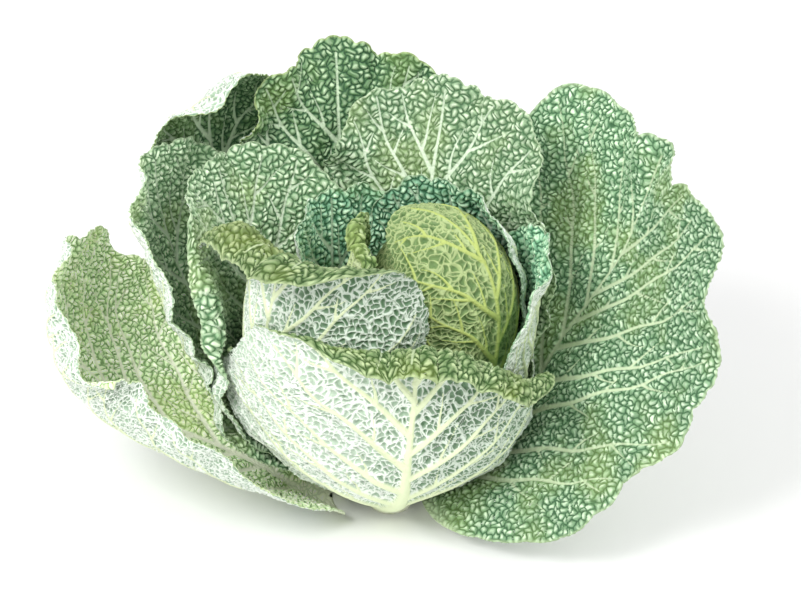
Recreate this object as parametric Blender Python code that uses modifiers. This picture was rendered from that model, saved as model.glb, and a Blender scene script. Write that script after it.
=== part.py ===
"""A Savoy cabbage head: the cut stem, the tight heart and the leaves that open around it.

The origin is the middle of the stem's cut face, +Z runs up the stem and -Y is the front.
Each leaf is a lamina that is laid out flat, bent round its midrib, rolled at its lips and
then settled against the leaves inside it, so that neighbours lie close but never touch.
"""

import math
from dataclasses import dataclass

import bmesh
import bpy
import numpy as np
from mathutils import Vector
from mathutils.bvhtree import BVHTree

MM = 0.001
COLLECTION_NAME = "savoy_cabbage_head"

# Thickness of a leaf's lamina, and the least distance between the middles of two leaves.
LEAF_THICKNESS = 2.0 * MM
LEAF_SPACING = 5 * MM
FLOOR_CLEARANCE = 1.5 * MM

# The grid that each leaf is shaped on, and how many of its steps one face of the solid spans.
GRID_STEPS = 24
FACE_STEPS = 2
EDGE_CROWDING = 1.25

# The heart: a tight ball, a little taller than wide.
HEART_CENTRE = Vector((30 * MM, 14 * MM, 150 * MM))
HEART_RADII = (48 * MM, 48 * MM, 60 * MM)
HEART_SEGMENTS = 28
HEART_RINGS = 18

# The stem, as (radius, height) from the top down: a stub that tapers up to under the heart.
STEM_PROFILE = ((0, 87), (7, 87), (8, 60), (10.5, 30), (13, 16), (15, 7), (15, 1.2), (13.8, 0), (0, 0))
STEM_SIDES = 32

# Leaves press outwards from the stem's line: level above this height, and sloping down below it.
PRESS_HEIGHT = 120 * MM
PRESS_SLOPE = 0.8
SEARCH_RADIUS = 0.6
SETTLE_ROUNDS = 4
SPREAD_ROUNDS = 10


@dataclass
class Leaf:
    """One leaf. The rib's points are (out, up, sideways) in millimetres, in the plane at azimuth.

    Azimuth is in degrees from +X towards +Y. Pairs give the clockwise side first, seen from above.
    turn is how far each half bends round in degrees, at the base, the middle and the tip.
    Each lip is (direction, spread, width, roll): the margin's direction on the lamina in degrees
    from the tip, the spread to each side, its width in millimetres and its roll outwards in degrees.
    """

    name: str
    azimuth: float
    rib: tuple
    half_width: tuple
    turn: tuple
    colour: tuple
    neck: float = 0.5
    middle: float = 0.6
    squareness: float = 2.4
    lips: tuple = ()
    lobe_depth: float = 0.0
    lobe_count: int = 7
    hugs_heart: bool = False


YELLOW_GREEN = (0.42, 0.50, 0.13, 1)
PALE_GREEN = (0.52, 0.62, 0.42, 1)
LEAF_GREEN = (0.20, 0.33, 0.12, 1)
DARK_GREEN = (0.11, 0.24, 0.12, 1)
TEAL_GREEN = (0.10, 0.27, 0.18, 1)
STEM_CREAM = (0.72, 0.74, 0.62, 1)

# From the innermost leaf to the outermost.
LEAVES = (
    Leaf(
        "heart_leaf_front",
        -40,
        (
            (13, 28, 0),
            (44, 62, 10),
            (64, 108, 24),
            (68, 150, 30),
            (60, 182, 30),
            (40, 205, 30),
            (14, 216, 30),
            (-16, 212, 30),
        ),
        (62, 62),
        ((50, 60, 80), (50, 60, 80)),
        YELLOW_GREEN,
        hugs_heart=True,
    ),
    Leaf(
        "heart_leaf_left",
        190,
        ((13, 26), (32, 60), (38, 110), (32, 160), (20, 206), (14, 222)),
        (50, 60),
        ((50, 60, 60), (50, 80, 90)),
        YELLOW_GREEN,
        lips=((30, 60, 16, 170),),
    ),
    Leaf(
        "collar_leaf_back",
        55,
        ((13, 24), (44, 60), (62, 110), (67, 165), (66, 222)),
        (60, 60),
        ((50, 60, 60), (50, 60, 60)),
        TEAL_GREEN,
        squareness=3,
    ),
    Leaf(
        "collar_leaf_left",
        128,
        ((13, 24), (40, 60), (56, 110), (62, 165), (66, 216)),
        (58, 66),
        ((50, 60, 60), (50, 70, 70)),
        TEAL_GREEN,
        squareness=2.8,
    ),
    Leaf(
        "collar_leaf_right",
        8,
        ((13, 22), (48, 55), (78, 100), (92, 150), (106, 200)),
        (75, 60),
        ((40, 45, 30), (50, 50, 40)),
        TEAL_GREEN,
    ),
    Leaf(
        "wrapper_leaf_left",
        215,
        ((14, 18), (50, 42), (82, 78), (97, 122), (97, 160), (90, 198), (84, 230), (78, 262)),
        (112, 124),
        ((50, 72, 75), (80, 112, 112)),
        PALE_GREEN,
        middle=0.58,
        squareness=2.3,
        lips=((-16, 84, 48, 165),),
    ),
    Leaf(
        "wrapper_leaf_front",
        268,
        (
            (15, 12, 0),
            (40, 32, 5),
            (66, 60, 11),
            (82, 95, 16),
            (87, 130, 18),
            (82, 167, 18),
            (72, 208, 18),
        ),
        (146, 114),
        ((40, 62, 90), (50, 75, 70)),
        PALE_GREEN,
        neck=0.6,
        middle=0.45,
        lips=((14, 74, 50, 160),),
        squareness=2.05,
    ),
    Leaf(
        "cup_leaf_left",
        146,
        ((14, 20), (58, 48), (94, 90), (114, 140), (128, 185), (144, 226)),
        (90, 98),
        ((50, 75, 60), (50, 62, 46)),
        LEAF_GREEN,
        neck=0.4,
        lips=((75, 40, 18, 150),),
    ),
    Leaf(
        "tall_leaf_back_right",
        72,
        ((14, 18), (48, 55), (74, 110), (86, 165), (100, 215), (124, 268)),
        (95, 76),
        ((45, 50, 30), (45, 50, 30)),
        LEAF_GREEN,
        middle=0.65,
        lobe_depth=0.10,
    ),
    Leaf(
        "tall_leaf_back",
        105,
        ((14, 16), (55, 55), (88, 110), (106, 165), (124, 220), (152, 283)),
        (85, 74),
        ((40, 40, 30), (40, 40, 30)),
        DARK_GREEN,
        middle=0.65,
        lobe_depth=0.12,
    ),
    Leaf(
        "outer_leaf_left_upper",
        154,
        ((14, 16), (72, 42), (122, 85), (154, 135), (174, 190), (176, 234)),
        (85, 95),
        ((40, 50, 45), (40, 60, 55)),
        DARK_GREEN,
    ),
    Leaf(
        "outer_leaf_back_left",
        133,
        ((14, 14), (72, 40), (120, 80), (156, 140), (176, 195), (178, 235), (160, 262), (130, 274)),
        (52, 70),
        ((30, 50, 50), (30, 50, 50)),
        PALE_GREEN,
    ),
    Leaf(
        "outer_leaf_right",
        16,
        ((16, 10), (56, 36), (94, 76), (120, 110), (142, 140), (166, 182), (188, 252)),
        (142, 174),
        ((-20, -25, -5), (50, 70, 35)),
        LEAF_GREEN,
        neck=0.75,
        middle=0.52,
        squareness=3.2,
        lobe_depth=0.10,
        lobe_count=9,
    ),
    Leaf(
        "outer_leaf_left",
        168,
        ((16, 12), (70, 18), (125, 32), (178, 54), (210, 78), (228, 108), (231, 142), (222, 176)),
        (112, 138),
        ((20, 32, 26), (50, 80, 70)),
        LEAF_GREEN,
        neck=0.7,
        lobe_depth=0.06,
        lobe_count=9,
    ),
    Leaf(
        "outer_leaf_rear_right",
        48,
        ((17, 22), (66, 44), (116, 72), (156, 112), (184, 160)),
        (85, 78),
        ((40, 40, 30), (40, 40, 30)),
        DARK_GREEN,
        neck=0.42,
        lobe_depth=0.10,
    ),
    Leaf(
        "outer_leaf_rear",
        82,
        ((16, 8), (70, 20), (125, 48), (165, 90), (192, 135)),
        (70, 58),
        ((40, 40, 30), (40, 40, 30)),
        LEAF_GREEN,
        neck=0.45,
        lobe_depth=0.10,
    ),
)


def ease(share):
    """A smooth step from 0 to 1."""
    share = np.clip(share, 0, 1)
    return share * share * (3 - 2 * share)


def unit(vectors):
    lengths = np.linalg.norm(vectors, axis=-1, keepdims=True)
    return vectors / np.maximum(lengths, 1e-9)


def smooth_route(points, steps=40):
    """A Catmull-Rom curve through the points."""
    ends = np.vstack([2 * points[0] - points[1], points, 2 * points[-1] - points[-2]])
    share = np.linspace(0, 1, steps, endpoint=False)[:, None]
    stretches = []
    for before, start, end, after in zip(ends, ends[1:], ends[2:], ends[3:]):
        curve = 2 * start + (end - before) * share
        curve += (2 * before - 5 * start + 4 * end - after) * share**2
        curve += (3 * start - before - 3 * end + after) * share**3
        stretches.append(curve / 2)
    stretches.append(ends[-2:-1])
    return np.vstack(stretches)


class Lamina:
    """A leaf's middle surface, as a map from its flat outline to space."""

    def __init__(self, leaf):
        self.leaf = leaf
        azimuth = math.radians(leaf.azimuth)
        outwards = np.array([math.cos(azimuth), math.sin(azimuth), 0])
        sideways = np.array([-math.sin(azimuth), math.cos(azimuth), 0])
        upwards = np.array([0, 0, 1.0])
        marks = np.array([tuple(mark) + (0,) * (3 - len(mark)) for mark in leaf.rib], float) * MM
        route = smooth_route(marks)
        self.rib = route[:, :1] * outwards + route[:, 1:2] * upwards + route[:, 2:] * sideways
        steps = np.linalg.norm(np.diff(self.rib, axis=0), axis=1)
        self.along = np.concatenate([[0], np.cumsum(steps)])
        self.length = self.along[-1]
        self.ahead = unit(np.gradient(self.rib, self.along, axis=0))
        self.across = unit(sideways - (self.ahead @ sideways)[:, None] * self.ahead)
        self.inwards = np.cross(self.ahead, self.across)

    def on_rib(self, table, along):
        return np.stack([np.interp(along, self.along, table[:, k]) for k in range(3)], -1)

    def bend(self, across, along):
        """Takes points of the flat leaf to space: each half is an arc square to the rib."""
        foot = self.on_rib(self.rib, along)
        ahead = self.on_rib(self.ahead, along)
        side_axis = self.on_rib(self.across, along)
        inward_axis = self.on_rib(self.inwards, along)
        foot = foot + (along - np.clip(along, 0, self.length))[..., None] * ahead
        share = np.clip(along / self.length, 0, 1)
        bends = []
        for width, (base, middle, tip) in zip(self.leaf.half_width, self.leaf.turn):
            turn = base * (1 - share) * (1 - 2 * share) + 4 * middle * share * (1 - share)
            turn = turn + tip * share * (2 * share - 1)
            bends.append(np.radians(turn) / (width * MM))
        curvature = np.where(across < 0, bends[0], bends[1])
        curvature = np.where(np.abs(curvature) < 1e-3, 1e-3, curvature)
        angle = curvature * np.abs(across)
        sideways = np.sin(angle) / curvature * np.sign(across)
        inwards = (1 - np.cos(angle)) / curvature
        return foot + sideways[..., None] * side_axis + inwards[..., None] * inward_axis

    def reach(self, direction):
        """The flat outline's radius from the lamina's middle, by direction from the tip."""
        leaf = self.leaf
        right = np.sin(direction) > 0
        half_width = np.where(right, leaf.half_width[1], leaf.half_width[0]) * MM
        ahead = np.cos(direction) > 0
        half_length = self.length * np.where(ahead, 1 - leaf.middle, leaf.middle)
        power = leaf.squareness
        sums = (np.abs(np.sin(direction)) / half_width) ** power
        sums = sums + (np.abs(np.cos(direction)) / half_length) ** power
        clear_of_base = ease((1 + np.cos(direction)) / 0.7)
        wave = np.cos(0.5 * leaf.lobe_count * direction + 0.7 * np.sin(2.3 * direction))
        notches = leaf.lobe_depth * clear_of_base * (1 - np.abs(wave)) ** 1.5
        return sums ** (-1 / power) * (1 - notches)

    def flat(self, share, direction):
        """Points at a share of the way from the lamina's middle to its margin."""
        radius = self.reach(direction) * share
        along = self.length * self.leaf.middle + radius * np.cos(direction)
        neck = self.leaf.neck
        narrowing = neck + (1 - neck) * ease(along / (0.35 * self.length))
        return radius * np.sin(direction) * narrowing, along

    def surface(self, share, direction):
        return self.bend(*self.flat(share, direction))

    def normal(self, share, direction):
        across, along = self.flat(share, direction)
        step = 0.5 * MM
        right = self.bend(across + step, along) - self.bend(across - step, along)
        ahead = self.bend(across, along + step) - self.bend(across, along - step)
        return unit(np.cross(ahead, right))

    def lip_at(self, direction):
        """The width of the rolled margin and how far it rolls, by direction."""
        width = np.zeros_like(direction)
        roll = np.zeros_like(direction)
        for centre, spread, lip_width, lip_roll in self.leaf.lips:
            off = np.abs((np.degrees(direction) - centre + 180) % 360 - 180)
            strength = ease(1.5 * (1 - off / spread))
            width = np.maximum(width, lip_width * MM * strength)
            roll = roll + math.radians(lip_roll) * strength
        return width, np.maximum(roll, 1e-4)

    def points(self, x, y):
        """The leaf's points in space, for x and y from -1 to 1 over its square grid."""
        share, direction = disc_from_square(x, y)
        reach = self.reach(direction)
        width, roll = self.lip_at(direction)
        crease = np.minimum(share, 1 - width / reach)
        past = np.maximum(width - (1 - share) * reach, 0)
        start = self.surface(crease, direction)
        normal = self.normal(crease, direction)
        outwards = unit(start - self.surface(crease - 0.004, direction))
        radius = np.maximum(width, 1e-6) / roll
        angle = past / radius
        points = start + (radius * np.sin(angle))[..., None] * outwards
        return points - (radius * (1 - np.cos(angle)))[..., None] * normal


def disc_from_square(x, y):
    """The concentric map of a square to a disc, as (share of the radius, direction from +Y)."""
    wide = np.abs(x) > np.abs(y)
    radius = np.where(wide, x, y)
    safe_x = np.where(np.abs(x) < 1e-12, 1e-12, x)
    safe_y = np.where(np.abs(y) < 1e-12, 1e-12, y)
    angle = np.where(wide, math.pi / 4 * y / safe_x, math.pi / 2 - math.pi / 4 * x / safe_y)
    disc_x = radius * np.cos(angle)
    disc_y = radius * np.sin(angle)
    return np.hypot(disc_x, disc_y), np.arctan2(disc_x, disc_y)


def grid_lines():
    """The grid's lines from -1 to 1, closer together towards the margin."""
    lines = np.linspace(-1, 1, GRID_STEPS + 1)
    return np.sign(lines) * (1 - (1 - np.abs(lines)) ** EDGE_CROWDING)


def grid_faces(steps):
    """The corner numbers of a square grid's faces."""
    corners = np.arange((steps + 1) ** 2).reshape(steps + 1, steps + 1)
    sides = (corners[:-1, :-1], corners[1:, :-1], corners[1:, 1:], corners[:-1, 1:])
    return np.stack(sides, -1).reshape(-1, 4)


def press_origins(points, hugs_heart):
    """Where each point is pressed away from: a place on the stem's line, or the heart's middle."""
    if hugs_heart:
        return np.tile(np.array(HEART_CENTRE), (len(points), 1))
    origins = np.zeros_like(points)
    slope = PRESS_SLOPE * np.hypot(points[:, 0], points[:, 1])
    origins[:, 2] = points[:, 2] + np.clip(PRESS_HEIGHT - points[:, 2], 0, slope)
    return origins


def spread(need):
    """A smooth field that is nowhere less than the need."""
    push = need
    for _ in range(SPREAD_ROUNDS):
        padded = np.pad(push, 1, mode="edge")
        near = padded[:-2, 1:-1] + padded[2:, 1:-1] + padded[1:-1, :-2] + padded[1:-1, 2:]
        push = np.maximum(need, 0.2 * (near + push))
    return push


def rays(points, hugs_heart):
    origins = press_origins(points, hugs_heart)
    return origins, unit(points - origins), np.linalg.norm(points - origins, axis=1)


def need_at_grid(points, inner_tree, hugs_heart):
    """How far each grid point lies inside the skin of the leaves within it."""
    need = np.zeros(len(points))
    for k, (origin, direction, distance) in enumerate(zip(*rays(points, hugs_heart))):
        far = Vector(origin + direction * SEARCH_RADIUS)
        hit = inner_tree.ray_cast(far, Vector(-direction), SEARCH_RADIUS)[0]
        if hit is not None:
            need[k] = (hit - Vector(origin)).length + LEAF_SPACING - distance
    return np.maximum(need, 0)


def need_at_inner(points, quads, inner_points, hugs_heart):
    """How far the inner leaves' points poke through the faces of this leaf, at its grid points."""
    own_tree = BVHTree.FromPolygons([Vector(point) for point in points], quads.tolist())
    need = np.zeros(len(points))
    for origin, direction, distance in zip(*rays(inner_points, hugs_heart)):
        hit, _, face, own_distance = own_tree.ray_cast(Vector(origin), Vector(direction), SEARCH_RADIUS)
        if hit is not None and own_distance < distance + LEAF_SPACING:
            corners = quads[face]
            need[corners] = np.maximum(need[corners], distance + LEAF_SPACING - own_distance)
    return need


def settle(grid, quads, inner_points, inner_tree, hugs_heart):
    """Moves a leaf's points out until they clear the leaves inside it."""
    points = grid.reshape(-1, 3)
    for _ in range(SETTLE_ROUNDS):
        need = need_at_grid(points, inner_tree, hugs_heart)
        need = np.maximum(need, need_at_inner(points, quads, inner_points, hugs_heart))
        push = spread(need.reshape(grid.shape[:2])).reshape(-1, 1)
        points = points + unit(points - press_origins(points, hugs_heart)) * push
        points[:, 2] = np.maximum(points[:, 2], FLOOR_CLEARANCE)
    return points.reshape(grid.shape)


def heart_surface():
    """The heart's skin as points and faces, for the leaves to settle against."""
    skin = bmesh.new()
    bmesh.ops.create_uvsphere(skin, u_segments=HEART_SEGMENTS, v_segments=HEART_RINGS, radius=1)
    points = [HEART_CENTRE + Vector(r * c for r, c in zip(HEART_RADII, vert.co)) for vert in skin.verts]
    faces = [[vert.index for vert in face.verts] for face in skin.faces]
    skin.free()
    return points, faces


def settled_leaves():
    """Each leaf's grid of points, from the inside out."""
    lines = grid_lines()
    x, y = np.meshgrid(lines, lines, indexing="ij")
    quads = grid_faces(GRID_STEPS)
    points, faces = heart_surface()
    grids = {}
    for leaf in LEAVES:
        inner_tree = BVHTree.FromPolygons(points, faces)
        grid = Lamina(leaf).points(x, y)
        grid = settle(grid, quads, np.array(points), inner_tree, leaf.hugs_heart)
        grids[leaf.name] = grid
        faces = faces + (quads + len(points)).tolist()
        points = points + [Vector(point) for point in grid.reshape(-1, 3)]
    return grids


def material(name, colour, roughness):
    made = bpy.data.materials.new(name)
    made.use_nodes = True
    shader = made.node_tree.nodes["Principled BSDF"]
    shader.inputs["Base Color"].default_value = colour
    shader.inputs["Roughness"].default_value = roughness
    shader.inputs["Metallic"].default_value = 0
    return made


def add_object(name, shape, collection, finish):
    made = bpy.data.objects.new(name, shape)
    shape.materials.append(finish)
    collection.objects.link(made)
    return made


def mesh_from(work, name):
    shape = bpy.data.meshes.new(name)
    work.to_mesh(shape)
    work.free()
    shape.shade_smooth()
    return shape


def make_leaf(leaf, grid, collection):
    """The leaf's solid: its open surface, thickened to both sides."""
    coarse = grid[::FACE_STEPS, ::FACE_STEPS]
    steps = len(coarse) - 1
    work = bmesh.new()
    bmesh.ops.create_grid(work, x_segments=steps, y_segments=steps, size=1)
    for vert in work.verts:
        column = round((vert.co.x + 1) / 2 * steps)
        row = round((vert.co.y + 1) / 2 * steps)
        vert.co = Vector(coarse[column, row])
    finish = material(leaf.name, leaf.colour, 0.6)
    made = add_object(leaf.name, mesh_from(work, leaf.name), collection, finish)
    thickness = made.modifiers.new("thickness", "SOLIDIFY")
    thickness.thickness = LEAF_THICKNESS
    thickness.offset = 0


def make_heart(collection):
    work = bmesh.new()
    bmesh.ops.create_uvsphere(work, u_segments=HEART_SEGMENTS, v_segments=HEART_RINGS, radius=1)
    bmesh.ops.scale(work, vec=HEART_RADII, verts=work.verts)
    finish = material("heart", YELLOW_GREEN, 0.5)
    heart = add_object("heart", mesh_from(work, "heart"), collection, finish)
    heart.location = HEART_CENTRE


def make_stem(collection):
    """The stem, turned from its profile. Its cut face is flat, at the origin."""
    shape = bpy.data.meshes.new("stem")
    points = [(radius * MM, 0, height * MM) for radius, height in STEM_PROFILE]
    edges = [(k, k + 1) for k in range(len(points) - 1)]
    shape.from_pydata(points, edges, [])
    stem = add_object("stem", shape, collection, material("stem", STEM_CREAM, 0.7))
    turned = stem.modifiers.new("turned", "SCREW")
    turned.steps = STEM_SIDES
    turned.render_steps = STEM_SIDES
    turned.use_merge_vertices = True
    turned.merge_threshold = 0.00005
    turned.use_smooth_shade = True


def main():
    for old in list(bpy.data.objects):
        bpy.data.objects.remove(old)
    collection = bpy.data.collections.new(COLLECTION_NAME)
    bpy.context.scene.collection.children.link(collection)
    make_stem(collection)
    make_heart(collection)
    grids = settled_leaves()
    for leaf in LEAVES:
        make_leaf(leaf, grids[leaf.name], collection)


main()
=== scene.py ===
import math
from dataclasses import dataclass

import bmesh
import bpy
import numpy as np
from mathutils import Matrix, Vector
from mathutils.bvhtree import BVHTree


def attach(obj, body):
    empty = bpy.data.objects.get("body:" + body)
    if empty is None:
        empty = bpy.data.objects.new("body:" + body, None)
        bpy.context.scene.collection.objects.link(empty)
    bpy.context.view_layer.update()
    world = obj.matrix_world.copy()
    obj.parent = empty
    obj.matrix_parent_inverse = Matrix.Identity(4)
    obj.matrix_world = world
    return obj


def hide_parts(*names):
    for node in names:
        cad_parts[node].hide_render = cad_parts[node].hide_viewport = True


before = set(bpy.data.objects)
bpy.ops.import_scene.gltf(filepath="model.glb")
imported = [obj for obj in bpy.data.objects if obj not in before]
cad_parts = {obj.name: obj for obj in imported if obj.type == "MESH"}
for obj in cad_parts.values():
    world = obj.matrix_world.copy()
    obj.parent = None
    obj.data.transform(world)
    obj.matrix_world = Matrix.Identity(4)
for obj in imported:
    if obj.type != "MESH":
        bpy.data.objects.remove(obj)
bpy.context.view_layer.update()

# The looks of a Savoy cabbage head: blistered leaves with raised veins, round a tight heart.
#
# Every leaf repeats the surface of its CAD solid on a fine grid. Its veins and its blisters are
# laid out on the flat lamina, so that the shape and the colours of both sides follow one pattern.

MM = 0.001

# The grid that part.py shapes each leaf on, and the fine grid that its looks are shaped on.
GRID_STEPS = 24
FINE_STEPS = 220
EDGE_CROWDING = 1.25

# How leaves press outwards from the stem's line, as in part.py, to clear the leaves inside them:
# level above this height, and sloping down below it.
LEAF_SPACING = 5 * MM
FLOOR_CLEARANCE = 1.5 * MM
PRESS_HEIGHT = 120 * MM
PRESS_SLOPE = 0.8
SEARCH_RADIUS = 0.6
SETTLE_ROUNDS = 4
SPREAD_ROUNDS = 10

# The heart: the ball that leaves settle against, the furls wound round it and their cells.
HEART_CENTRE = Vector((30 * MM, 14 * MM, 150 * MM))
HEART_RADII = (48 * MM, 48 * MM, 60 * MM)
HEART_SEGMENTS = 28
HEART_RINGS = 18
HEART_FURLS = 3
HEART_TWIST = 0.9
HEART_STEP = 1.6 * MM
HEART_SHRINK = 0.985
HEART_CELL = 4.6
HEART_PIT = 0.6
HEART_NUMBER = 30
POLE_GAP = 0.001

# The stem, as (radius, height) from the top down in millimetres, its grid and its fibres.
STEM_PROFILE = (
    (0, 87), (7, 87), (8, 60), (10.5, 30), (13, 16), (15, 7), (15, 1.2), (13.8, 0), (0, 0)
)
STEM_RINGS = 60
STEM_SIDES = 96
FIBRE_HEIGHT = 0.35 * MM
STEM_INSET = 0.3 * MM
STEM_CUT = 4 * MM

# A leaf's lowest height, its lamina's thickness inside and at its margin, and the heights of its
# blisters, of the net between them on its back and of its billows between veins.
LOWEST = 0.3 * MM
LAMINA = 0.9 * MM
MARGIN_LAMINA = 0.5 * MM
BLISTER_HEIGHT = 2.0 * MM
NET_HEIGHT = 0.35 * MM
SEAM_HEIGHT = 1.6 * NET_HEIGHT
BILLOW_HEIGHT = 2.2 * MM
BILLOW_REACH = 14 * MM
GROOVE_SHARE = 0.25

# The coarse net's cell, in cells of the fine one, how irregular both are, how far their sides
# sway, in cells, and where each leaf's stretch of the pattern starts.
COARSE_NET = 3.1
IRREGULARITY = 0.78
CELL_SWAY = 0.22
CELL_RIPPLE = 0.12
PATTERN_START = 40
PATTERN_STEP = 17.3

# The share of a midrib's half width that it gains only just above the stem, and the half widths
# of the veins' ends and of the branches.
MIDRIB_FLARE = 0.68
MIDRIB_TIP = 0.7 * MM
VEIN_TIP = 0.5 * MM
BRANCH_WIDTH = 0.95 * MM
BRANCH_TIP = 0.3 * MM

# How far a side vein sways in radians, the length of vein for each radian of its wave, the share
# of the way to the margin where it ends, and the least gap between a branch and the other veins.
VEIN_SWAY = 0.14
VEIN_WAVE = 9 * MM
VEIN_REACH = 0.95
BRANCH_GAP = 5 * MM

# Far from every vein: in half widths, in metres and in the stored field.
FAR_WIDTHS = 99.0
FAR_METRES = 1.0
VEIN_LIMIT = 6.0

# The first leaf's seed, the width over which the painted shade of its two halves blends, and
# the gap round each half of the baked map.
FIRST_SEED = 100
PAINTED_SHADE_BLEND = 80 * MM
BAKE_INSET = 0.01

# Scales, by cells, of the fine grain and of the broad patches on either side.
GRAIN_SCALE = 2.4
GRAIN_DETAIL = 4.0
FACE_PATCHES = 0.09
BACK_PATCHES = 0.07

# The grain's part in the bumps, the span of the painted shade values, the shine, and the stem's
# looks.
GRAIN_BUMP = 0.3
PAINTED_LIGHTEST = 0.4
PAINTED_DARKEST = 1.6
SPECULAR = 0.35
STEM_CREAMS = ((0.66, 0.70, 0.50), (0.84, 0.87, 0.70))
STEM_GRAIN = 400.0

# The camera looks at the target from the front and above, with a long lens.
CAMERA_TARGET = Vector((7 * MM, 0, 157 * MM))
CAMERA_ELEVATION = math.radians(30)
CAMERA_DISTANCE = 2.2
LENS = 150
SENSOR_WIDTH = 36

# Name, place, size in metres and power in watts of each light, and the point that they face.
LIGHTS = (
    ("key", (-1.1, -1.3, 1.9), 0.9, 34),
    ("fill", (1.5, -0.9, 1.9), 1.4, 14),
)
LIT_POINT = Vector((0, 0, 0.1))
SKY_STRENGTH = 0.86
FLOOR_SIZE = 14
FLOOR_WHITE = (0.93, 0.93, 0.93)


@dataclass
class Leaf:
    """One leaf, shaped as in part.py, with the sizes that only its looks have.

    Pairs give the clockwise side first, seen from above. In millimetres: scallops is the depth of
    the margin's scallops, ruffle the height of its waves, rib_width and vein_width the half width
    of the midrib and of the lowest side vein at their base, and cell the width of a blister.
    veins is how many side veins leave each side of the midrib, the lowest at vein_angle degrees.
    The last two pairs are painted light and shade on the inner and the outer side: above 1 they
    darken it, as painted shade, and below 1 they lighten it, as painted light.
    """

    name: str
    azimuth: float
    rib: tuple
    half_width: tuple
    turn: tuple
    look: str
    neck: float = 0.5
    middle: float = 0.6
    squareness: float = 2.4
    lips: tuple = ()
    lobe_depth: float = 0.0
    lobe_count: int = 7
    hugs_heart: bool = False
    scallops: float = 3.2
    ruffle: float = 3.6
    veins: int = 6
    rib_width: float = 9.0
    vein_angle: float = 58.0
    vein_width: float = 2.3
    cell: float = 4.6
    shade: tuple = (1.0, 1.0)
    back_painted_shade: tuple = (1.0, 1.0)


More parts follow.
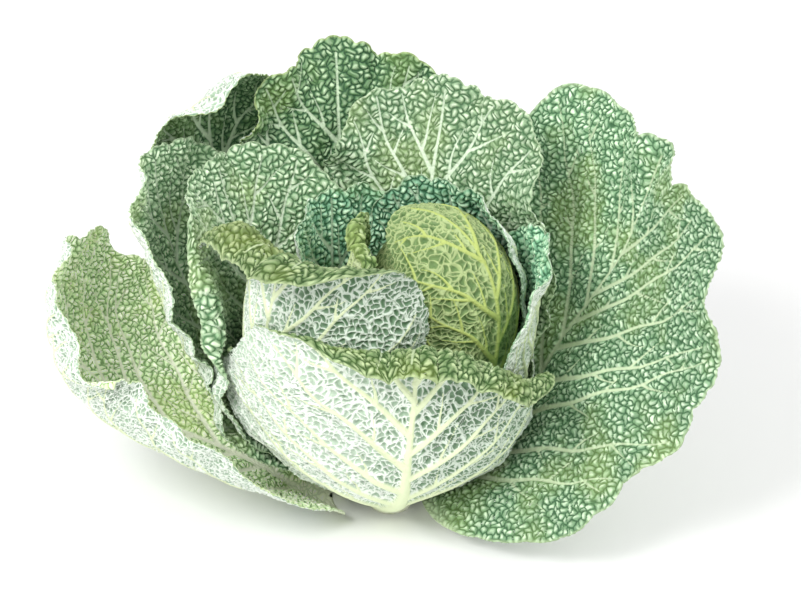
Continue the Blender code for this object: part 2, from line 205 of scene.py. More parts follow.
# From the innermost leaf to the outermost.
LEAVES = (
    Leaf(
        "heart_leaf_front", -40,
        (
            (13, 28, 0), (44, 62, 10), (64, 108, 24), (68, 150, 30),
            (60, 182, 30), (40, 205, 30), (14, 216, 30), (-16, 212, 30),
        ),
        (62, 62), ((50, 60, 80), (50, 60, 80)), "heart",
        hugs_heart=True, scallops=1.0, ruffle=0, cell=5.4,
    ),
    Leaf(
        "heart_leaf_left", 190,
        ((13, 26), (32, 60), (38, 110), (32, 160), (20, 206), (14, 222)),
        (50, 60), ((50, 60, 60), (50, 80, 90)), "yellow",
        lips=((30, 60, 16, 170),), ruffle=1,
    ),
    Leaf(
        "collar_leaf_back", 55,
        ((13, 24), (44, 60), (62, 110), (67, 165), (66, 222)),
        (60, 60), ((50, 60, 60), (50, 60, 60)), "teal",
        squareness=3, ruffle=1.5, shade=(0.85, 0.85),
    ),
    Leaf(
        "collar_leaf_left", 128,
        ((13, 24), (40, 60), (56, 110), (62, 165), (66, 216)),
        (58, 66), ((50, 60, 60), (50, 70, 70)), "teal",
        squareness=2.8, ruffle=1.5, shade=(0.7, 0.7),
    ),
    Leaf(
        "collar_leaf_right", 8,
        ((13, 22), (48, 55), (78, 100), (92, 150), (106, 200)),
        (75, 60), ((40, 45, 30), (50, 50, 40)), "teal",
        ruffle=2, shade=(0.5, 0.5),
    ),
    Leaf(
        "wrapper_leaf_left", 215,
        ((14, 18), (50, 42), (82, 78), (97, 122), (97, 160), (90, 198), (84, 230), (78, 262)),
        (112, 124), ((50, 72, 75), (80, 112, 112)), "wrapper",
        middle=0.58, squareness=2.3, lips=((-16, 84, 48, 165),), ruffle=1.5, rib_width=8,
        shade=(1.25, 1.25), back_painted_shade=(0.8, 1.5),
    ),
    Leaf(
        "wrapper_leaf_front", 268,
        (
            (15, 12, 0), (40, 32, 5), (66, 60, 11), (82, 95, 16),
            (87, 130, 18), (82, 167, 18), (72, 208, 18),
        ),
        (146, 114), ((40, 62, 90), (50, 75, 70)), "wrapper",
        neck=0.6, middle=0.45, squareness=2.05, lips=((14, 74, 50, 160),), ruffle=1.5,
        rib_width=13, vein_width=2.8, shade=(1.15, 1.15), back_painted_shade=(0.75, 1.6),
    ),
    Leaf(
        "cup_leaf_left", 146,
        ((14, 20), (58, 48), (94, 90), (114, 140), (128, 185), (144, 226)),
        (90, 98), ((50, 75, 60), (50, 62, 46)), "light",
        neck=0.4, lips=((75, 40, 18, 150),), ruffle=2, shade=(0.8, 0.8),
    ),
    Leaf(
        "tall_leaf_back_right", 72,
        ((14, 18), (48, 55), (74, 110), (86, 165), (100, 215), (124, 268)),
        (95, 76), ((45, 50, 30), (45, 50, 30)), "light",
        middle=0.65, lobe_depth=0.10,
    ),
    Leaf(
        "tall_leaf_back", 105,
        ((14, 16), (55, 55), (88, 110), (106, 165), (124, 220), (152, 283)),
        (85, 74), ((40, 40, 30), (40, 40, 30)), "dark",
        middle=0.65, lobe_depth=0.12,
    ),
    Leaf(
        "outer_leaf_left_upper", 154,
        ((14, 16), (72, 42), (122, 85), (154, 135), (174, 190), (176, 234)),
        (85, 95), ((40, 50, 45), (40, 60, 55)), "light",
        shade=(0.4, 0.4),
    ),
    Leaf(
        "outer_leaf_back_left", 133,
        ((14, 14), (72, 40), (120, 80), (156, 140), (176, 195), (178, 235), (160, 262), (130, 274)),
        (52, 70), ((30, 50, 50), (30, 50, 50)), "dark",
    ),
    Leaf(
        "outer_leaf_right", 16,
        ((16, 10), (56, 36), (94, 76), (120, 110), (142, 140), (166, 182), (188, 252)),
        (142, 174), ((-20, -25, -5), (50, 70, 35)), "green",
        neck=0.75, middle=0.52, squareness=3.2, lobe_depth=0.10, lobe_count=9, ruffle=4, veins=8,
        shade=(1.0, 0.75),
    ),
    Leaf(
        "outer_leaf_left", 168,
        ((16, 12), (70, 18), (125, 32), (178, 54), (210, 78), (228, 108), (231, 142), (222, 176)),
        (112, 138), ((20, 32, 26), (50, 80, 70)), "green_painted_lit",
        neck=0.7, lobe_depth=0.06, lobe_count=9, veins=8, shade=(0.4, 0.4),
    ),
    Leaf(
        "outer_leaf_rear_right", 48,
        ((17, 22), (66, 44), (116, 72), (156, 112), (184, 160)),
        (85, 78), ((40, 40, 30), (40, 40, 30)), "dark",
        neck=0.42, lobe_depth=0.10,
    ),
    Leaf(
        "outer_leaf_rear", 82,
        ((16, 8), (70, 20), (125, 48), (165, 90), (192, 135)),
        (70, 58), ((40, 40, 30), (40, 40, 30)), "green",
        neck=0.45, lobe_depth=0.10,
    ),
)


@dataclass
class Look:
    """The colours of a leaf. face is the inner side and back the outer, from hollow to crest.

    tint is what patches of the inner side lean to, and margin is the colour of its edge. The face's
    hollow colour is painted shade and its crest colour a painted highlight; the back's pit colour
    is the pits' own grey-green, laid on more deeply towards each pit's middle as painted shade.
    """

    face: tuple
    face_vein: tuple
    tint: tuple
    margin: tuple
    back: tuple = ((0.12, 0.23, 0.12), (0.47, 0.61, 0.46), (0.91, 0.97, 0.88))
    back_vein: tuple = (0.80, 0.88, 0.58)


LOOKS = {
    "heart": Look(
        face=((0.08, 0.15, 0.03), (0.32, 0.44, 0.12), (0.62, 0.74, 0.34)),
        face_vein=(0.7, 0.82, 0.42), tint=(0.55, 0.72, 0.2), margin=(0.55, 0.66, 0.22),
        back=((0.08, 0.17, 0.05), (0.21, 0.32, 0.12), (0.43, 0.54, 0.24)),
        back_vein=(0.48, 0.58, 0.17),
    ),
    "yellow": Look(
        face=((0.04, 0.1, 0.02), (0.2, 0.32, 0.1), (0.55, 0.68, 0.34)),
        face_vein=(0.68, 0.8, 0.48), tint=(0.4, 0.5, 0.12), margin=(0.5, 0.62, 0.26),
        back=((0.13, 0.24, 0.06), (0.42, 0.54, 0.24), (0.74, 0.84, 0.5)),
        back_vein=(0.74, 0.86, 0.44),
    ),
    "teal": Look(
        face=((0.03, 0.12, 0.06), (0.2, 0.42, 0.26), (0.62, 0.84, 0.6)),
        face_vein=(0.66, 0.82, 0.62), tint=(0.2, 0.3, 0.08), margin=(0.6, 0.74, 0.5),
    ),
    "wrapper": Look(
        face=((0.04, 0.11, 0.02), (0.21, 0.33, 0.13), (0.58, 0.72, 0.38)),
        face_vein=(0.7, 0.82, 0.52), tint=(0.34, 0.4, 0.04), margin=(0.6, 0.72, 0.4),
    ),
    "green": Look(
        face=((0.05, 0.14, 0.06), (0.23, 0.4, 0.22), (0.7, 0.88, 0.63)),
        face_vein=(0.7, 0.82, 0.55), tint=(0.36, 0.46, 0.1), margin=(0.56, 0.7, 0.42),
    ),
    # A lighter copy of the green look: painted light, for a leaf whose inner side lies in shade.
    "green_painted_lit": Look(
        face=((0.18, 0.3, 0.12), (0.6, 0.74, 0.46), (1.0, 1.0, 0.86)),
        face_vein=(1.0, 1.0, 0.86), tint=(0.52, 0.6, 0.16), margin=(0.72, 0.84, 0.56),
    ),
    # A lighter green, lightened in part as painted light for leaves that lie in shade.
    "light": Look(
        face=((0.08, 0.18, 0.08), (0.3, 0.45, 0.26), (0.74, 0.88, 0.64)),
        face_vein=(0.8, 0.92, 0.72), tint=(0.4, 0.5, 0.16), margin=(0.62, 0.76, 0.5),
    ),
    "dark": Look(
        face=((0.03, 0.1, 0.04), (0.15, 0.29, 0.13), (0.52, 0.7, 0.44)),
        face_vein=(0.66, 0.8, 0.58), tint=(0.26, 0.38, 0.06), margin=(0.56, 0.68, 0.3),
    ),
}


def ease(share):
    """A smooth step from 0 to 1."""
    share = np.clip(share, 0, 1)
    return share * share * (3 - 2 * share)


def put_in_scene(name, data):
    thing = bpy.data.objects.new(name, data)
    bpy.context.scene.collection.objects.link(thing)
    return thing


def unit(vectors):
    lengths = np.linalg.norm(vectors, axis=-1, keepdims=True)
    return vectors / np.maximum(lengths, 1e-9)


def smooth_route(points, steps=40):
    """A Catmull-Rom curve through the points."""
    ends = np.vstack([2 * points[0] - points[1], points, 2 * points[-1] - points[-2]])
    share = np.linspace(0, 1, steps, endpoint=False)[:, None]
    stretches = []
    for before, start, end, after in zip(ends, ends[1:], ends[2:], ends[3:]):
        curve = 2 * start + (end - before) * share
        curve += (2 * before - 5 * start + 4 * end - after) * share**2
        curve += (3 * start - before - 3 * end + after) * share**3
        stretches.append(curve / 2)
    stretches.append(ends[-2:-1])
    return np.vstack(stretches)


class Lamina:
    """A leaf's middle surface, as a map from its flat outline to space."""

    def __init__(self, leaf):
        self.leaf = leaf
        azimuth = math.radians(leaf.azimuth)
        outwards = np.array([math.cos(azimuth), math.sin(azimuth), 0])
        sideways = np.array([-math.sin(azimuth), math.cos(azimuth), 0])
        upwards = np.array([0, 0, 1.0])
        marks = np.array([tuple(mark) + (0,) * (3 - len(mark)) for mark in leaf.rib], float) * MM
        route = smooth_route(marks)
        self.rib = route[:, :1] * outwards + route[:, 1:2] * upwards + route[:, 2:] * sideways
        steps = np.linalg.norm(np.diff(self.rib, axis=0), axis=1)
        self.along = np.concatenate([[0], np.cumsum(steps)])
        self.length = self.along[-1]
        self.ahead = unit(np.gradient(self.rib, self.along, axis=0))
        self.across = unit(sideways - (self.ahead @ sideways)[:, None] * self.ahead)
        self.inwards = np.cross(self.ahead, self.across)

    def on_rib(self, table, along):
        return np.stack([np.interp(along, self.along, table[:, k]) for k in range(3)], -1)

    def bend(self, across, along):
        """Takes points of the flat leaf to space: each half is an arc square to the rib."""
        foot = self.on_rib(self.rib, along)
        ahead = self.on_rib(self.ahead, along)
        side_axis = self.on_rib(self.across, along)
        inward_axis = self.on_rib(self.inwards, along)
        foot = foot + (along - np.clip(along, 0, self.length))[..., None] * ahead
        share = np.clip(along / self.length, 0, 1)
        bends = []
        for width, (base, middle, tip) in zip(self.leaf.half_width, self.leaf.turn):
            turn = base * (1 - share) * (1 - 2 * share) + 4 * middle * share * (1 - share)
            turn = turn + tip * share * (2 * share - 1)
            bends.append(np.radians(turn) / (width * MM))
        curvature = np.where(across < 0, bends[0], bends[1])
        curvature = np.where(np.abs(curvature) < 1e-3, 1e-3, curvature)
        angle = curvature * np.abs(across)
        sideways = np.sin(angle) / curvature * np.sign(across)
        inwards = (1 - np.cos(angle)) / curvature
        return foot + sideways[..., None] * side_axis + inwards[..., None] * inward_axis

    def reach(self, direction):
        """The flat outline's radius from the lamina's middle, by direction from the tip."""
        leaf = self.leaf
        right = np.sin(direction) > 0
        half_width = np.where(right, leaf.half_width[1], leaf.half_width[0]) * MM
        ahead = np.cos(direction) > 0
        half_length = self.length * np.where(ahead, 1 - leaf.middle, leaf.middle)
        power = leaf.squareness
        sums = (np.abs(np.sin(direction)) / half_width) ** power
        sums = sums + (np.abs(np.cos(direction)) / half_length) ** power
        clear_of_base = ease((1 + np.cos(direction)) / 0.7)
        wave = np.cos(0.5 * leaf.lobe_count * direction + 0.7 * np.sin(2.3 * direction))
        notches = leaf.lobe_depth * clear_of_base * (1 - np.abs(wave)) ** 1.5
        return sums ** (-1 / power) * (1 - notches)

    def narrowing(self, along):
        neck = self.leaf.neck
        return neck + (1 - neck) * ease(along / (0.35 * self.length))

    def flat(self, share, direction):
        """Points at a share of the way from the lamina's middle to its margin."""
        radius = self.reach(direction) * share
        along = self.length * self.leaf.middle + radius * np.cos(direction)
        return radius * np.sin(direction) * self.narrowing(along), along

    def surface(self, share, direction):
        return self.bend(*self.flat(share, direction))

    def normal(self, share, direction):
        across, along = self.flat(share, direction)
        step = 0.5 * MM
        right = self.bend(across + step, along) - self.bend(across - step, along)
        ahead = self.bend(across, along + step) - self.bend(across, along - step)
        return unit(np.cross(ahead, right))

    def lip_at(self, direction):
        """The width of the rolled margin and how far it rolls, by direction."""
        width = np.zeros_like(direction)
        roll = np.zeros_like(direction)
        for centre, spread, lip_width, lip_roll in self.leaf.lips:
            off = np.abs((np.degrees(direction) - centre + 180) % 360 - 180)
            strength = ease(1.5 * (1 - off / spread))
            width = np.maximum(width, lip_width * MM * strength)
            roll = roll + math.radians(lip_roll) * strength
        return width, np.maximum(roll, 1e-4)

    def points(self, x, y):
        """The leaf's points in space, for x and y from -1 to 1 over its square grid."""
        share, direction = disc_from_square(x, y)
        reach = self.reach(direction)
        width, roll = self.lip_at(direction)
        crease = np.minimum(share, 1 - width / reach)
        past = np.maximum(width - (1 - share) * reach, 0)
        start = self.surface(crease, direction)
        normal = self.normal(crease, direction)
        outwards = unit(start - self.surface(crease - 0.004, direction))
        radius = np.maximum(width, 1e-6) / roll
        angle = past / radius
        points = start + (radius * np.sin(angle))[..., None] * outwards
        return points - (radius * (1 - np.cos(angle)))[..., None] * normal


class FineLamina(Lamina):
    """The lamina with its scalloped margin, and with the way back from flat points to shares."""

    def reach(self, direction):
        """The outline with scallops as long as two or three blisters, in groups."""
        clear_of_base = ease((1 + np.cos(direction)) / 0.6)
        size = self.leaf.scallops * MM * clear_of_base
        small = 1 - np.abs(np.cos(23 * direction + 1.7 * np.sin(5 * direction)))
        large = 1 - np.abs(np.cos(8.5 * direction + 0.9 * np.sin(3 * direction)))
        return super().reach(direction) - size * (0.55 * small**1.3 + 1.1 * large**1.6)

    def share_of(self, across, along):
        """How far flat points are towards the margin, from 0 at the middle to 1."""
        wide = across / self.narrowing(along)
        ahead = along - self.length * self.leaf.middle
        return np.hypot(wide, ahead) / self.reach(np.arctan2(wide, ahead))


def disc_from_square(x, y):
    """The concentric map of a square to a disc, as (share of the radius, direction from +Y)."""
    wide = np.abs(x) > np.abs(y)
    radius = np.where(wide, x, y)
    safe_x = np.where(np.abs(x) < 1e-12, 1e-12, x)
    safe_y = np.where(np.abs(y) < 1e-12, 1e-12, y)
    angle = np.where(wide, math.pi / 4 * y / safe_x, math.pi / 2 - math.pi / 4 * x / safe_y)
    disc_x = radius * np.cos(angle)
    disc_y = radius * np.sin(angle)
    return np.hypot(disc_x, disc_y), np.arctan2(disc_x, disc_y)


def grid_lines(steps):
    """A grid's lines from -1 to 1, closer together towards the margin."""
    lines = np.linspace(-1, 1, steps + 1)
    return np.sign(lines) * (1 - (1 - np.abs(lines)) ** EDGE_CROWDING)


def grid_faces(steps):
    """The corner numbers of a square grid's faces."""
    corners = np.arange((steps + 1) ** 2).reshape(steps + 1, steps + 1)
    sides = (corners[:-1, :-1], corners[1:, :-1], corners[1:, 1:], corners[:-1, 1:])
    return np.stack(sides, -1).reshape(-1, 4)


def press_origins(points, hugs_heart):
    """Where each point is pressed away from: a place on the stem's line, or the heart's middle."""
    if hugs_heart:
        return np.tile(np.array(HEART_CENTRE), (len(points), 1))
    origins = np.zeros_like(points)
    slope = PRESS_SLOPE * np.hypot(points[:, 0], points[:, 1])
    origins[:, 2] = points[:, 2] + np.clip(PRESS_HEIGHT - points[:, 2], 0, slope)
    return origins


def spread(need):
    """A smooth field that is nowhere less than the need."""
    push = need
    for _ in range(SPREAD_ROUNDS):
        padded = np.pad(push, 1, mode="edge")
        near = padded[:-2, 1:-1] + padded[2:, 1:-1] + padded[1:-1, :-2] + padded[1:-1, 2:]
        push = np.maximum(need, 0.2 * (near + push))
    return push


def rays(points, hugs_heart):
    origins = press_origins(points, hugs_heart)
    return origins, unit(points - origins), np.linalg.norm(points - origins, axis=1)


def need_at_grid(points, inner_tree, hugs_heart):
    """How far each grid point lies inside the skin of the leaves within it."""
    need = np.zeros(len(points))
    for k, (origin, direction, distance) in enumerate(zip(*rays(points, hugs_heart))):
        far = Vector(origin + direction * SEARCH_RADIUS)
        hit = inner_tree.ray_cast(far, Vector(-direction), SEARCH_RADIUS)[0]
        if hit is not None:
            need[k] = (hit - Vector(origin)).length + LEAF_SPACING - distance
    return np.maximum(need, 0)


def need_at_inner(points, quads, inner_points, hugs_heart):
    """How far the inner leaves' points poke through the faces of this leaf, at its grid points."""
    own_tree = BVHTree.FromPolygons([Vector(point) for point in points], quads.tolist())
    need = np.zeros(len(points))
    for origin, direction, distance in zip(*rays(inner_points, hugs_heart)):
        found = own_tree.ray_cast(Vector(origin), Vector(direction), SEARCH_RADIUS)
        hit, _, face, own_distance = found
        if hit is not None and own_distance < distance + LEAF_SPACING:
            corners = quads[face]
            need[corners] = np.maximum(need[corners], distance + LEAF_SPACING - own_distance)
    return need


def settle(grid, quads, inner_points, inner_tree, hugs_heart):
    """Moves a leaf's points out until they clear the leaves inside it."""
    points = grid.reshape(-1, 3)
    for _ in range(SETTLE_ROUNDS):
        need = need_at_grid(points, inner_tree, hugs_heart)
        need = np.maximum(need, need_at_inner(points, quads, inner_points, hugs_heart))
        push = spread(need.reshape(grid.shape[:2])).reshape(-1, 1)
        points = points + unit(points - press_origins(points, hugs_heart)) * push
        points[:, 2] = np.maximum(points[:, 2], FLOOR_CLEARANCE)
    return points.reshape(grid.shape)


def heart_surface():
    """The heart's skin as points and faces, for the leaves to settle against."""
    skin = bmesh.new()
    bmesh.ops.create_uvsphere(skin, u_segments=HEART_SEGMENTS, v_segments=HEART_RINGS, radius=1)
    points = []
    for vert in skin.verts:
        offset = Vector(radius * part for radius, part in zip(HEART_RADII, vert.co))
        points.append(HEART_CENTRE + offset)
    faces = [[vert.index for vert in face.verts] for face in skin.faces]
    skin.free()
    return points, faces


def settling_moves():
    """How far each leaf's grid points move as it settles, from the inside out."""
    lines = grid_lines(GRID_STEPS)
    x, y = np.meshgrid(lines, lines, indexing="ij")
    quads = grid_faces(GRID_STEPS)
    points, faces = heart_surface()
    moves = {}
    for leaf in LEAVES:
        inner_tree = BVHTree.FromPolygons(points, faces)
        free = Lamina(leaf).points(x, y)
        grid = settle(free, quads, np.array(points), inner_tree, leaf.hugs_heart)
        moves[leaf.name] = grid - free
        faces = faces + (quads + len(points)).tolist()
        points = points + [Vector(point) for point in grid.reshape(-1, 3)]
    return moves


def spline_weights(fine_steps, coarse_steps):
    """The weights that take values on a coarse line to a fine one, by a cubic B-spline."""
    place = np.linspace(0, coarse_steps, fine_steps + 1)
    whole = np.minimum(place.astype(int), coarse_steps - 1)
    part = place - whole
    shares = (
        (1 - part) ** 3 / 6,
        (3 * part**3 - 6 * part**2 + 4) / 6,
        (-3 * part**3 + 3 * part**2 + 3 * part + 1) / 6,
        part**3 / 6,
    )
    weights = np.zeros((fine_steps + 1, coarse_steps + 1))
    fine = np.arange(fine_steps + 1)
    for offset, share in enumerate(shares, -1):
        np.add.at(weights, (fine, np.clip(whole + offset, 0, coarse_steps)), share)
    return weights


# ---- veins ----


def cut_short(route, good):
    """The route's points before the first that isn't good."""
    return route if good.all() else route[: int(np.argmin(good))]


def vein_route(lamina, start, angle, bow, length, steps, rng):
    """A vein's points on the flat leaf, from its start, at an angle from the tip's direction."""
    share = np.linspace(0, 1, steps)
    sway = VEIN_SWAY * np.sin(length / VEIN_WAVE * share + rng.uniform(0, 6)) * ease(share / 0.25)
    turn = angle + bow * share + sway
    step = length / (steps - 1)
    across = start[0] + np.concatenate([[0], np.cumsum(np.sin(turn[:-1]) * step)])
    along = start[1] + np.concatenate([[0], np.cumsum(np.cos(turn[:-1]) * step)])
    inside = lamina.share_of(across, along) < VEIN_REACH
    inside[:2] = True
    return cut_short(np.stack([across, along], -1), inside)


def leaf_veins(lamina, rng):
    """Every vein as (points on the flat leaf, half width at its start, at its end, its flare)."""
    leaf = lamina.leaf
    length = lamina.length
    along = np.linspace(-4 * MM, 0.96 * length, 40)
    sway = 1.5 * MM * np.sin(along / (22 * MM) + rng.uniform(0, 6)) * ease(along / (0.4 * length))
    veins = [(np.stack([sway, along], -1), leaf.rib_width * MM, MIDRIB_TIP, MIDRIB_FLARE)]
    routes = []
    for side in (-1, 1):
        half_width = leaf.half_width[(side + 1) // 2] * MM
        for k in range(leaf.veins):
            place = (k + 0.35 + rng.uniform(-0.2, 0.2) + 0.25 * side) / leaf.veins
            foot = length * (0.06 + 0.74 * place)
            angle = math.radians(leaf.vein_angle * (1 - 0.42 * place) + rng.uniform(-4, 4))
            bow = math.radians(-22 + rng.uniform(-6, 6))
            start = (np.interp(foot, along, sway), foot)
            route = vein_route(lamina, start, side * angle, side * bow, 2.2 * half_width, 30, rng)
            width = (leaf.vein_width - 0.9 * place) * MM
            veins.append((route, width, VEIN_TIP, 0))
            routes.append((route, side))
    mains = [vein[0] for vein in veins]
    for route, side in routes:
        others = np.vstack([main for main in mains if main is not route])
        veins += side_branches(lamina, route, side, others, rng)
    return veins


def side_branches(lamina, route, side, others, rng):
    """The smaller veins that leave a side vein, to both sides in turn, and end short of others."""
    branches = []
    steps = np.diff(route, axis=0)
    headings = np.arctan2(steps[:, 0], steps[:, 1])
    turn_side = side
    for k in range(3, len(route) - 2, 3):
        turn_side = -turn_side
        fork = math.radians(42 + rng.uniform(-8, 8))
        reach = (20 + rng.uniform(0, 24)) * MM
        angle = headings[k] + turn_side * fork
        branch = vein_route(lamina, route[k], angle, -turn_side * 0.35, reach, 10, rng)
        gaps = np.linalg.norm(branch[:, None] - others[None], axis=-1).min(axis=1)
        branches.append((cut_short(branch, gaps > BRANCH_GAP), BRANCH_WIDTH, BRANCH_TIP, 0))
    return branches


def vein_fields(across, along, veins):
    """How many half widths each point is from a vein, the ridge's height there, and metres off."""
    nearest = np.full(across.shape, FAR_WIDTHS)
    ridge = np.zeros(across.shape)
    metres = np.full(across.shape, FAR_METRES)
    flat = np.stack([across, along], -1)
    margin = 30 * MM
    for route, width_start, width_end, flare in veins:
        if len(route) < 2:
            continue
        low = route.min(0) - margin
        high = route.max(0) + margin
        close = np.all((flat > low) & (flat < high), axis=-1)
        points = flat[close]
        steps = len(route) - 1
        best = np.full(len(points), FAR_METRES)
        place = np.zeros(len(points))
        for k in range(steps):
            line = route[k + 1] - route[k]
            part = np.clip(((points - route[k]) @ line) / max(line @ line, 1e-12), 0, 1)
            gap = np.linalg.norm(points - route[k] - part[:, None] * line, axis=-1)
            nearer = gap < best
            best = np.where(nearer, gap, best)
            place = np.where(nearer, (k + part) / steps, place)
        taper = (1 - flare) * (1 - place) ** 1.5 + flare * (1 - place) ** 8
        width = width_end + (width_start - width_end) * taper
        ratio = best / width
        nearest[close] = np.minimum(nearest[close], ratio)
        crown = np.minimum(1.1 * width, 1.4 * MM + 0.45 * width)
        height = crown * np.sqrt(np.clip(1 - (ratio / 1.25) ** 2, 0, 1))
        ridge[close] = np.maximum(ridge[close], height)
        metres[close] = np.minimum(metres[close], best)
    return nearest, ridge, metres


# ---- blisters ----

# The name, scale and feature of each cell field.
CELL_FIELDS = (
    ("fine", 1, "DISTANCE_TO_EDGE"),
    ("coarse", 1 / COARSE_NET, "DISTANCE_TO_EDGE"),
    ("middle", 1, "F1"),
)


def add_node(tree, kind, inputs, output=0, **settings):
    """Adds a node to a tree, and gives back its output of that name or number."""
    node = tree.nodes.new(kind)
    for key, value in settings.items():
        setattr(node, key, value)
    for key, value in inputs.items():
        put(tree, value, node.inputs[key])
    return node.outputs[output]


def put(tree, value, socket):
    """Links an output to the socket, or sets it to a number, a name or a colour."""
    if isinstance(value, bpy.types.NodeSocket):
        tree.links.new(value, socket)
    elif isinstance(value, tuple) and socket.type == "RGBA":
        socket.default_value = value + (1,)
    else:
        socket.default_value = value


def add_cells(tree, vector, feature, output, scale=1.0):
    inputs = {"Vector": vector, "Scale": scale, "Randomness": IRREGULARITY}
    kinds = {"voronoi_dimensions": "2D", "feature": feature}
    return add_node(tree, "ShaderNodeTexVoronoi", inputs, output, **kinds)


def cells_tree():
    """A geometry node tree that stores each point's distances to its cells' edges and middle."""
    tree = bpy.data.node_groups.new("cells", "GeometryNodeTree")
    tree.interface.new_socket("Geometry", in_out="INPUT", socket_type="NodeSocketGeometry")
    tree.interface.new_socket("Geometry", in_out="OUTPUT", socket_type="NodeSocketGeometry")
    shape = tree.nodes.new("NodeGroupInput").outputs["Geometry"]
    place = tree.nodes.new("GeometryNodeInputPosition").outputs["Position"]
    for name, scale, feature in CELL_FIELDS:
        distance = add_cells(tree, place, feature, "Distance", scale)
        inputs = {"Geometry": shape, "Name": name, "Value": distance}
        kinds = {"data_type": "FLOAT", "domain": "POINT"}
        shape = add_node(tree, "GeometryNodeStoreNamedAttribute", inputs, **kinds)
    tree.links.new(shape, tree.nodes.new("NodeGroupOutput").inputs["Geometry"])
    return tree


def in_cells(across, along, cell, number):
    """Flat points in cells, swayed so that the cells' sides curve, in a stretch of the pattern."""
    u = across / (cell * MM) + PATTERN_START + PATTERN_STEP * number
    v = along / (cell * MM) + PATTERN_START + PATTERN_STEP * number
    sway_u = CELL_SWAY * np.sin(1.9 * v + 1.1 * np.sin(1.3 * u))
    sway_v = CELL_SWAY * np.sin(2.1 * u + 1.2 * np.sin(1.2 * v))
    ripple_u = CELL_RIPPLE * np.sin(4.1 * v + 1.7 * u)
    ripple_v = CELL_RIPPLE * np.sin(3.9 * u - 1.9 * v)
    return np.stack([u + sway_u + ripple_u, v + sway_v + ripple_v, np.zeros_like(u)], -1)


def cell_fields(flat, tree):
    """The cells' fields at flat points: fine and coarse distance to an edge, and to the middle."""
    count = len(flat)
    shape = bpy.data.meshes.new("cell_points")
    shape.vertices.add(count)
    shape.vertices.foreach_set("co", flat.astype(np.float32).reshape(-1))
    holder = put_in_scene("cell_points", shape)
    holder.modifiers.new("cells", "NODES").node_group = tree
    found = holder.evaluated_get(bpy.context.evaluated_depsgraph_get()).data
    values = []
    for name, _, _ in CELL_FIELDS:
        value = np.empty(count, np.float32)
        found.attributes[name].data.foreach_get("value", value)
        values.append(value.astype(float))
    bpy.data.objects.remove(holder)
    bpy.data.meshes.remove(shape)
    return values


# ---- meshes ----


def surface_normals(grid, towards):
    """Unit normals of a grid of points, turned to the given direction's side at its middle."""
    normals = unit(np.cross(np.gradient(grid, axis=0), np.gradient(grid, axis=1)))
    middle = len(grid) // 2
    if normals[middle, middle] @ towards < 0:
        normals = -normals
    return normals


def shell_faces(steps, flipped):
    """The faces of a shell of two equal grids that are joined round their margin."""
    top = grid_faces(steps)
    count = (steps + 1) ** 2
    corners = np.arange(count).reshape(steps + 1, steps + 1)
    sides = (corners[0, :-1], corners[:-1, -1], corners[-1, :0:-1], corners[:0:-1, 0])
    ring = np.concatenate(sides)
    after = np.roll(ring, -1)
    rim = np.stack([ring, ring + count, after + count, after], -1)
    faces = np.concatenate([top, top[:, ::-1] + count, rim[:, ::-1]])
    return faces[:, ::-1] if flipped else faces


def mesh_from_arrays(name, points, faces):
    shape = bpy.data.meshes.new(name)
    shape.vertices.add(len(points))
    shape.vertices.foreach_set("co", points.astype(np.float32).reshape(-1))
    shape.loops.add(faces.size)
    shape.loops.foreach_set("vertex_index", faces.astype(np.int32).reshape(-1))
    shape.polygons.add(len(faces))
    shape.polygons.foreach_set("loop_start", np.arange(0, faces.size, 4, dtype=np.int32))
    shape.update(calc_edges=True)
    shape.shade_smooth()
    return shape


def add_values(shape, name, values):
    """Stores one number, or three, for each point of the mesh."""
    kind, field = ("FLOAT_VECTOR", "vector") if values.ndim == 2 else ("FLOAT", "value")
    layer = shape.attributes.new(name, kind, "POINT")
    layer.data.foreach_set(field, values.astype(np.float32).reshape(-1))


def add_bake_map(shape, faces, steps):
    """A UV map with the inner side in its left half and the outer side in its right half."""
    count = (steps + 1) ** 2
    side = faces >= count
    rim = side.any(1) & ~side.all(1)
    index = faces % count
    u = (index // (steps + 1)) / steps
    v = (index % (steps + 1)) / steps
    u = BAKE_INSET + u * (0.5 - 2 * BAKE_INSET) + np.where(side & ~rim[:, None], 0.5, 0)
    v = BAKE_INSET + v * (1 - 2 * BAKE_INSET)
    outwards = np.where(side & rim[:, None], 0.5 * BAKE_INSET, 0)
    u = u + outwards * np.sign(u - 0.25)
    v = v + outwards * np.sign(v - 0.5)
    layer = shape.uv_layers.new(name="OFBake")
    layer.data.foreach_set("uv", np.stack([u, v], -1).astype(np.float32).reshape(-1))


def close_ends(shape):
    """Fills the open ends of a tube and turns its faces outwards."""
    work = bmesh.new()
    work.from_mesh(shape)
    open_edges = [edge for edge in work.edges if edge.is_boundary]
    bmesh.ops.holes_fill(work, edges=open_edges, sides=0)
    bmesh.ops.recalc_face_normals(work, faces=work.faces)
    work.to_mesh(shape)
    work.free()
    shape.shade_smooth()


def ruffle_height(share, direction, number):
    """The waves of a margin, as a share of its ruffle. They die out inwards and at the base."""
    wave = np.sin(9 * direction + 2.0 * np.sin(2 * direction) + number)
    wave = wave + 0.6 * np.sin(17 * direction + 1.3 * np.sin(3 * direction) + 2 * number)
    return ease((share - 0.55) / 0.45) * ease((1 + np.cos(direction)) / 0.5) * wave


def lamina_lift(share, near, metres, cells):
    """How far blisters and billows lift the lamina inwards. Both die out at veins and margin."""
    fine, coarse, off_middle = cells
    clear_of_vein = ease((near - 0.9) / 1.6)
    dome = ease(fine / 0.3) * (1 - 0.45 * np.clip(off_middle / 0.7, 0, 1) ** 2)
    dome = dome * (0.45 + 0.55 * ease(coarse / 0.1))
    blister = BLISTER_HEIGHT * clear_of_vein * dome * (1 - 0.5 * ease((share - 0.93) / 0.07))
    billow = BILLOW_HEIGHT * ease(metres / BILLOW_REACH) * (1 - 0.6 * share**4)
    return blister + billow


